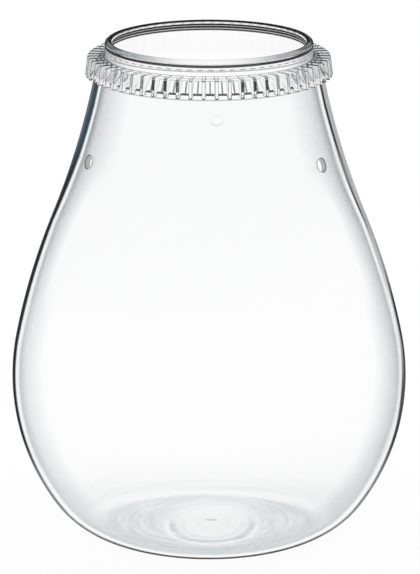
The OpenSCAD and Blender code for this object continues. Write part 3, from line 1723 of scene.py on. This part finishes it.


# Painted shade along the outline of the blown wall, from the foot up, for the left side and, where
# it differs, the right
FOOT_EDGE = Edge(
    rim=0.95, dark=0.95, dark_at=0.02, pale=0.0, pale_at=0.16, pale_to=0.52, faint_shade=0.37, faint_shade_at=0.7,
    half_at=1.1, end=0.2,
)
HEEL_EDGE = Edge(
    rim=0.7, dark=0.76, dark_at=-0.08, pale=0.02, pale_at=0.15, pale_to=0.35, faint_shade=0.4,
    faint_shade_at=0.52, half_at=1.05, end=0.13,
)
SIDE_LEFT = replace(HEEL_EDGE, pale_to=0.28, faint_shade=0.38, faint_shade_at=0.41, half_at=0.9, end=0.06)
SIDE_RIGHT = replace(HEEL_EDGE, pale_to=0.28, faint_shade_at=0.44, half_at=1.15, end=0.12)
BELLY_LEFT = Edge(
    rim=0.985, dark=0.985, dark_at=-0.06, pale=0.02, pale_at=0.17, pale_to=0.2, faint_shade=0.45,
    faint_shade_at=0.4, half_at=0.77, end=0.0,
)
BELLY_RIGHT = Edge(
    rim=1.0, dark=0.95, dark_at=0.03, pale=0.16, pale_at=0.2, pale_to=0.25, faint_shade=0.47, faint_shade_at=0.41,
    half_at=0.95,
)
HIP_RIGHT = Edge(
    rim=0.95, dark=0.98, dark_at=-0.03, pale=0.08, pale_at=0.14, pale_to=0.2, faint_shade=0.45,
    faint_shade_at=0.53, half_at=1.03, end=0.03,
)
FLANK_RIGHT = Edge(
    rim=1.0, dark=1.0, dark_at=-0.22, pale=0.1, pale_at=0.15, pale_to=0.16, faint_shade=0.51, faint_shade_at=0.38,
    half_at=0.92,
)
WAIST_LEFT = Edge(
    rim=0.96, dark=1.0, dark_at=-0.06, pale=0.06, pale_at=0.13, pale_to=0.2, faint_shade=0.54,
    faint_shade_at=0.35, half_at=0.7, gone_at=1.1, end=0.03,
)
WAIST_RIGHT = Edge(
    rim=0.68, dark=0.5, dark_at=0.12, pale=0.04, pale_at=0.27, pale_to=0.28, faint_shade=0.54, faint_shade_at=0.4,
    half_at=0.84, gone_at=1.25, band=0.3,
)
SHOULDER_LEFT = replace(
    WAIST_LEFT, rim=0.95, dark_at=-0.1, pale_at=0.09, pale_to=0.15, faint_shade=0.58, faint_shade_at=0.28
)
SHOULDER_RIGHT = Edge(
    rim=0.55, dark=1.0, dark_at=0.04, pale=0.01, pale_at=0.18, pale_to=0.21, faint_shade=0.59, faint_shade_at=0.4,
    half_at=0.79, gone_at=1.2, end=0.03, band=0.08,
)
NAPE_LEFT = Edge(
    rim=0.9, dark=0.99, dark_at=-0.04, pale=0.06, pale_at=0.11, pale_to=0.12, faint_shade=0.72,
    faint_shade_at=0.24, half_at=0.53, end=0.04,
)
NAPE_RIGHT = Edge(
    rim=0.55, dark=1.0, dark_at=-0.06, pale=0.06, pale_at=0.07, pale_to=0.12, faint_shade=0.64,
    faint_shade_at=0.28, half_at=0.64, end=0.05, band=0.12,
)
WALL_EDGES = (
    (2.0, FOOT_EDGE, None),
    (11.0, HEEL_EDGE, None),
    (22.0, SIDE_LEFT, SIDE_RIGHT),
    (43.0, BELLY_LEFT, HIP_RIGHT),
    (58.0, BELLY_LEFT, BELLY_RIGHT),
    (90.0, BELLY_LEFT, FLANK_RIGHT),
    (112.0, WAIST_LEFT, WAIST_RIGHT),
    (132.0, SHOULDER_LEFT, SHOULDER_RIGHT),
    (160.0, NAPE_LEFT, NAPE_RIGHT),
)
# The blown wall: clear glass with the painted shade of its edges, bluish near the shoulder, and a
# painted dark line at 178.1 mm
BLOWN_GLASS = ClearFinish(
    name="blown_glass",
    edge=(
        (0.0, (0.014, 0.015, 0.016)),
        (142.0, (0.012, 0.014, 0.014)),
        (156.0, (0.03, 0.062, 0.082)),
    ),
    faint_shade=(0.08, 0.16, 0.2),
    right_rim=(0.032, 0.033, 0.03),
    widths=(
        (0.0, 0.18), (20.0, 0.165), (45.0, 0.165), (75.0, 0.176), (90.0, 0.186), (105.0, 0.195),
        (125.0, 0.205), (150.0, 0.288), (170.0, 0.32),
    ),
    clears=(
        (0.0, 0.42), (60.0, 0.43), (84.0, 0.42), (107.0, 0.44), (131.0, 0.49), (150.0, 0.59),
        (180.0, 0.62),
    ),
    profiles=tuple(
        Profile(left.rows(), right.rows() if right else (), height)
        for height, left, right in WALL_EDGES
    ),
    rings=(Ring(height=178.1, half=0.25, shade=0.5),),
    ring_panes=FIRST_ONLY,
    panes=FIRST_ONLY,
)
# The neck: clear glass with painted shade at its edges and painted dark lines round it
NECK_GLASS = ClearFinish(
    name="neck_glass",
    edge=plain((0.02, 0.021, 0.02)),
    faint_shade=(0.1, 0.13, 0.14),
    profiles=even(
        (0.0, 0.85), (0.15, 0.62), (0.3, 0.5), (0.45, 0.36), (0.6, 0.12), (0.8, 0.0), (1.0, 0.0)
    ),
    lines=(
        Slant(
            rows=((0.0, 0.97), (0.7, 0.97), (0.85, 0.6), (0.95, 0.0)),
            low=189.55,
            high=190.4,
            soft=0.25,
        ),
        Slant(
            rows=((0.0, 0.9), (0.5, 0.9), (0.65, 0.0), (1.0, 0.0)),
            low=189.55,
            high=190.9,
            soft=0.25,
        ),
    ),
    rings=(
        Ring(height=185.0, half=0.18, shade=0.5, seen=Seen.FACING),
        Ring(height=184.1, half=0.18, shade=0.45, seen=Seen.FACING),
    ),
    panes=FIRST_ONLY,
    passed=grey(0.992),
)
# The inside: clear glass with painted dark lines round it under the lip, one dashed as a painted
# reflection of the fins
INNER_GLASS = ClearFinish(
    name="inner_glass",
    edge=plain((0.05, 0.055, 0.055)),
    profiles=even((0.0, 0.25), (0.15, 0.03), (1.0, 0.0)),
    rings=(
        Ring(height=189.4, half=0.5, shade=0.99),
        Ring(height=188.4, half=0.36, shade=0.97, seen=Seen.FACING),
        Ring(height=188.1, half=0.2, shade=0.8, dashes=0.8, seen=Seen.THROUGH),
    ),
    straight_above=178.0,
    passed=grey(0.992),
)
# The outside of the lip bead: clear glass with painted shade at its edges, darker towards the ends
# of the ring
LIP_GLASS = ClearFinish(
    name="lip_glass",
    edge=plain((0.03, 0.032, 0.03)),
    faint_shade=(0.12, 0.16, 0.175),
    faint_shade_band=(0.65, 0.95),
    profiles=even((0.0, 0.9), (0.15, 0.6), (0.35, 0.3), (0.5, 0.2), (0.65, 0.1), (1.0, 0.02)),
    lines=(
        Slant(
            rows=(
                (0.0, 0.97), (0.08, 0.95), (0.2, 0.72), (0.5, 0.72), (0.7, 0.66), (0.82, 0.45),
                (0.95, 0.1), (1.0, 0.02),
            ),
            low=190.3,
            high=192.2,
            soft=0.2,
        ),
    ),
    upward_clear=0.75,
    panes=FIRST_ONLY,
)
# The inside of the lip bead: clear glass with painted dark lines, and dashes that are a painted
# reflection of the fins
RIM_GLASS = ClearFinish(
    name="rim_glass",
    edge=plain(grey(0.012)),
    profiles=even((0.0, 0.6), (0.1, 0.3), (0.3, 0.1), (1.0, 0.05)),
    dashes=0.35,
    rings=(
        Ring(height=191.75, half=0.38, shade=0.99, seen=Seen.FACING),
        Ring(height=190.4, half=0.38, shade=0.99, seen=Seen.FACING),
    ),
    panes=FIRST_ONLY,
)
# A painted dark line under the inside of the lip: near-black painted shade on the crease faces
CREASE_SHADE = ClearFinish(
    name="crease_shade",
    edge=plain((0.012, 0.01, 0.008)),
    profiles=even((0.0, 0.98), (1.0, 0.97)),
    inner_shade=0.98,
    inner_band=(1.1, 1.2),
)
# Painted shadow of the pot on the floor, seen through the base as a grey-blue disc, with a wider
# rim at the back
FLOOR_SHADOW = ShadowRings(
    rows=(
        (0.0, 1.0), (33.0, 1.0), (36.0, 0.75), (38.0, 0.1), (40.0, 0.0), (43.0, 0.1), (52.0, 0.0),
    ),
    far_rows=(
        (0.0, 1.0), (33.0, 1.0), (36.0, 0.85), (38.0, 0.15), (39.5, 0.0), (41.0, 0.05),
        (43.0, 0.35), (47.0, 0.25), (53.0, 0.08), (58.0, 0.0),
    ),
    across=0.5,
    back=-4.5,
    flat=1.13,
)
# Painted rings of shade in place of light bent by the floor's ripples: a bright middle, darker
# rings, fainter at the back
RIPPLE_SHADE = ShadowRings(
    rows=(
        (0.0, 0.0), (5.0, 0.02), (9.0, 0.2), (12.0, 0.03), (15.0, 0.05), (17.0, 0.45), (18.8, 0.12),
        (20.8, 0.85), (23.2, 0.95), (24.4, 0.03), (25.8, 0.0), (27.5, 0.6), (32.0, 0.75),
        (80.0, 0.75),
    ),
    far_rows=(
        (0.0, 0.0), (12.0, 0.0), (18.0, 0.12), (22.0, 0.3), (27.0, 0.45), (32.0, 0.75),
        (80.0, 0.75),
    ),
    across=1.5,
    back=-4.5,
    flat=0.7,
)
# A painted dark dash of shade at the pip in the middle of the floor
PIP_SHADE = ShadowRings(rows=((0.0, 1.0), (0.6, 1.0), (1.0, 0.0)), across=1.0, back=-4.0, flat=3.2)
# The floor: clear glass whose colour takes the painted shadow, the painted rings and the dash above
FLOOR_GLASS = ClearFinish(
    name="floor_glass",
    edge=plain((0.2, 0.22, 0.23)),
    profiles=even((0.0, 0.05), (0.15, 0.0), (1.0, 0.0)),
    shadow_rings=(FLOOR_SHADOW, RIPPLE_SHADE),
    shade_marks=(PIP_SHADE,),
    painted_shadow=(0.24, 0.31, 0.335),
    streaks=0.5,
    panes=2.5,
)
# The hole chamfers: near-black painted shade that outlines each hole
CHAMFER_SHADE = ClearFinish(
    name="chamfer_shade",
    edge=plain((0.05, 0.06, 0.055)),
    profiles=even((0.0, 0.97), (1.0, 0.95)),
    panes=FIRST_ONLY,
)
# The collar's plastic: clear, with bluish painted shade at its edges, from behind and towards the
# ring's ends, and painted dark lines between the fins
CLEAR_PLASTIC = ClearFinish(
    name="clear_plastic",
    ior=PLASTIC_IOR,
    edge=plain((0.03, 0.062, 0.072)),
    profiles=even(
        (0.0, 0.97), (0.14, 0.85), (0.26, 0.5), (0.4, 0.28), (0.6, 0.14), (0.8, 0.06), (1.0, 0.0)
    ),
    inner_shade=0.9,
    inner_band=(0.2, 0.4),
    piled=0.1,
    lines=(
        Slat(count=60, turned=-89.0, radius=42.0, half=0.22, low=180.5, high=184.4, shade=0.65),
    ),
    panes=3.5,
    straight_after=5.5,
    passed=grey(0.992),
)
# The fins' sides: lighter painted shade
PLASTIC_FLANK = replace(
    CLEAR_PLASTIC,
    name="plastic_flank",
    edge=plain((0.06, 0.12, 0.14)),
    profiles=even((0.0, 0.7), (0.1, 0.4), (0.25, 0.15), (0.5, 0.06), (0.8, 0.06), (1.0, 0.06)),
    inner_shade=0.5,
    lines=(),
)
# The fins' tops: painted shade that goes near black towards the ends of the ring
PLASTIC_TOP = replace(
    PLASTIC_FLANK,
    name="plastic_top",
    edge=plain((0.03, 0.033, 0.031)),
    lines=(
        Slant(rows=((0.0, 0.97), (0.45, 0.97), (0.68, 0.3), (0.8, 0.0)), low=180.0, high=188.0),
    ),
)
# A painted dark olive line of shade at the foot of the sleeve
PLASTIC_FOOT_SHADE = ClearFinish(
    name="plastic_foot_shade",
    ior=PLASTIC_IOR,
    edge=plain((0.06, 0.058, 0.04)),
    profiles=even((0.0, 0.96), (1.0, 0.92)),
    straight_after=1.5,
)
# The fins' rounded edges: near-black painted shade
PLASTIC_CORNER_SHADE = ClearFinish(
    name="plastic_corner_shade",
    ior=PLASTIC_IOR,
    edge=plain((0.03, 0.037, 0.04)),
    profiles=even((0.0, 0.97), (0.3, 0.93), (1.0, 0.88)),
    inner_shade=0.9,
    inner_band=(1.1, 1.2),
    panes=3.5,
    straight_after=5.5,
    passed=grey(0.992),
)
# The fins' tips: a band of near-black painted shade on tips of fins seen a little to either side of
# square on
PLASTIC_TIP = ClearFinish(
    name="plastic_tip",
    ior=PLASTIC_IOR,
    edge=plain((0.03, 0.032, 0.03)),
    profiles=even((0.0, 0.6), (0.15, 0.25), (0.4, 0.08), (1.0, 0.0)),
    lines=(
        Slant(
            rows=(
                (0.0, 0.3), (0.7, 0.35), (0.8, 0.5), (0.84, 0.8), (0.87, 0.95), (0.942, 0.95),
                (0.952, 0.6), (0.963, 0.05), (1.0, 0.0),
            ),
            low=181.2,
            high=185.6,
        ),
    ),
    straight_after=0.5,
    panes=3.5,
    passed=grey(0.992),
)
GROUND_GLASS = GroundFinish(name="ground_glass", colour=(0.27, 0.33, 0.285), roughness=0.5)
WHITE_FLOOR = MattFinish(name="white_floor", colour=grey(1.0))
VESSEL_FINISHES = {
    Zone.WALL: BLOWN_GLASS,
    Zone.INSIDE: INNER_GLASS,
    Zone.LIP: LIP_GLASS,
    Zone.CREASE: CREASE_SHADE,
    Zone.FLOOR: FLOOR_GLASS,
    Zone.BORE: GROUND_GLASS,
    Zone.NECK: NECK_GLASS,
    Zone.RIM: RIM_GLASS,
    Zone.CHAMFER: CHAMFER_SHADE,
}
COLLAR_FINISHES = {
    Mould.PLAIN: CLEAR_PLASTIC,
    Mould.FOOT: PLASTIC_FOOT_SHADE,
    Mould.CORNER: PLASTIC_CORNER_SHADE,
    Mould.TIP: PLASTIC_TIP,
    Mould.FLANK: PLASTIC_FLANK,
    Mould.TOP: PLASTIC_TOP,
}


def main() -> None:
    """Builds the studio and the pot."""
    logging.basicConfig(level=logging.INFO, format="%(name)s: %(message)s")
    bpy.context.scene.view_settings.view_transform = "Standard"
    studio = Studio()
    studio.build_camera()
    studio.build_room()
    studio.build_floor(WHITE_FLOOR)
    GlassVessel().build({zone: finish.material() for zone, finish in VESSEL_FINISHES.items()})
    FinnedCollar().build({part: finish.material() for part, finish in COLLAR_FINISHES.items()})


if __name__ == "__main__":
    main()
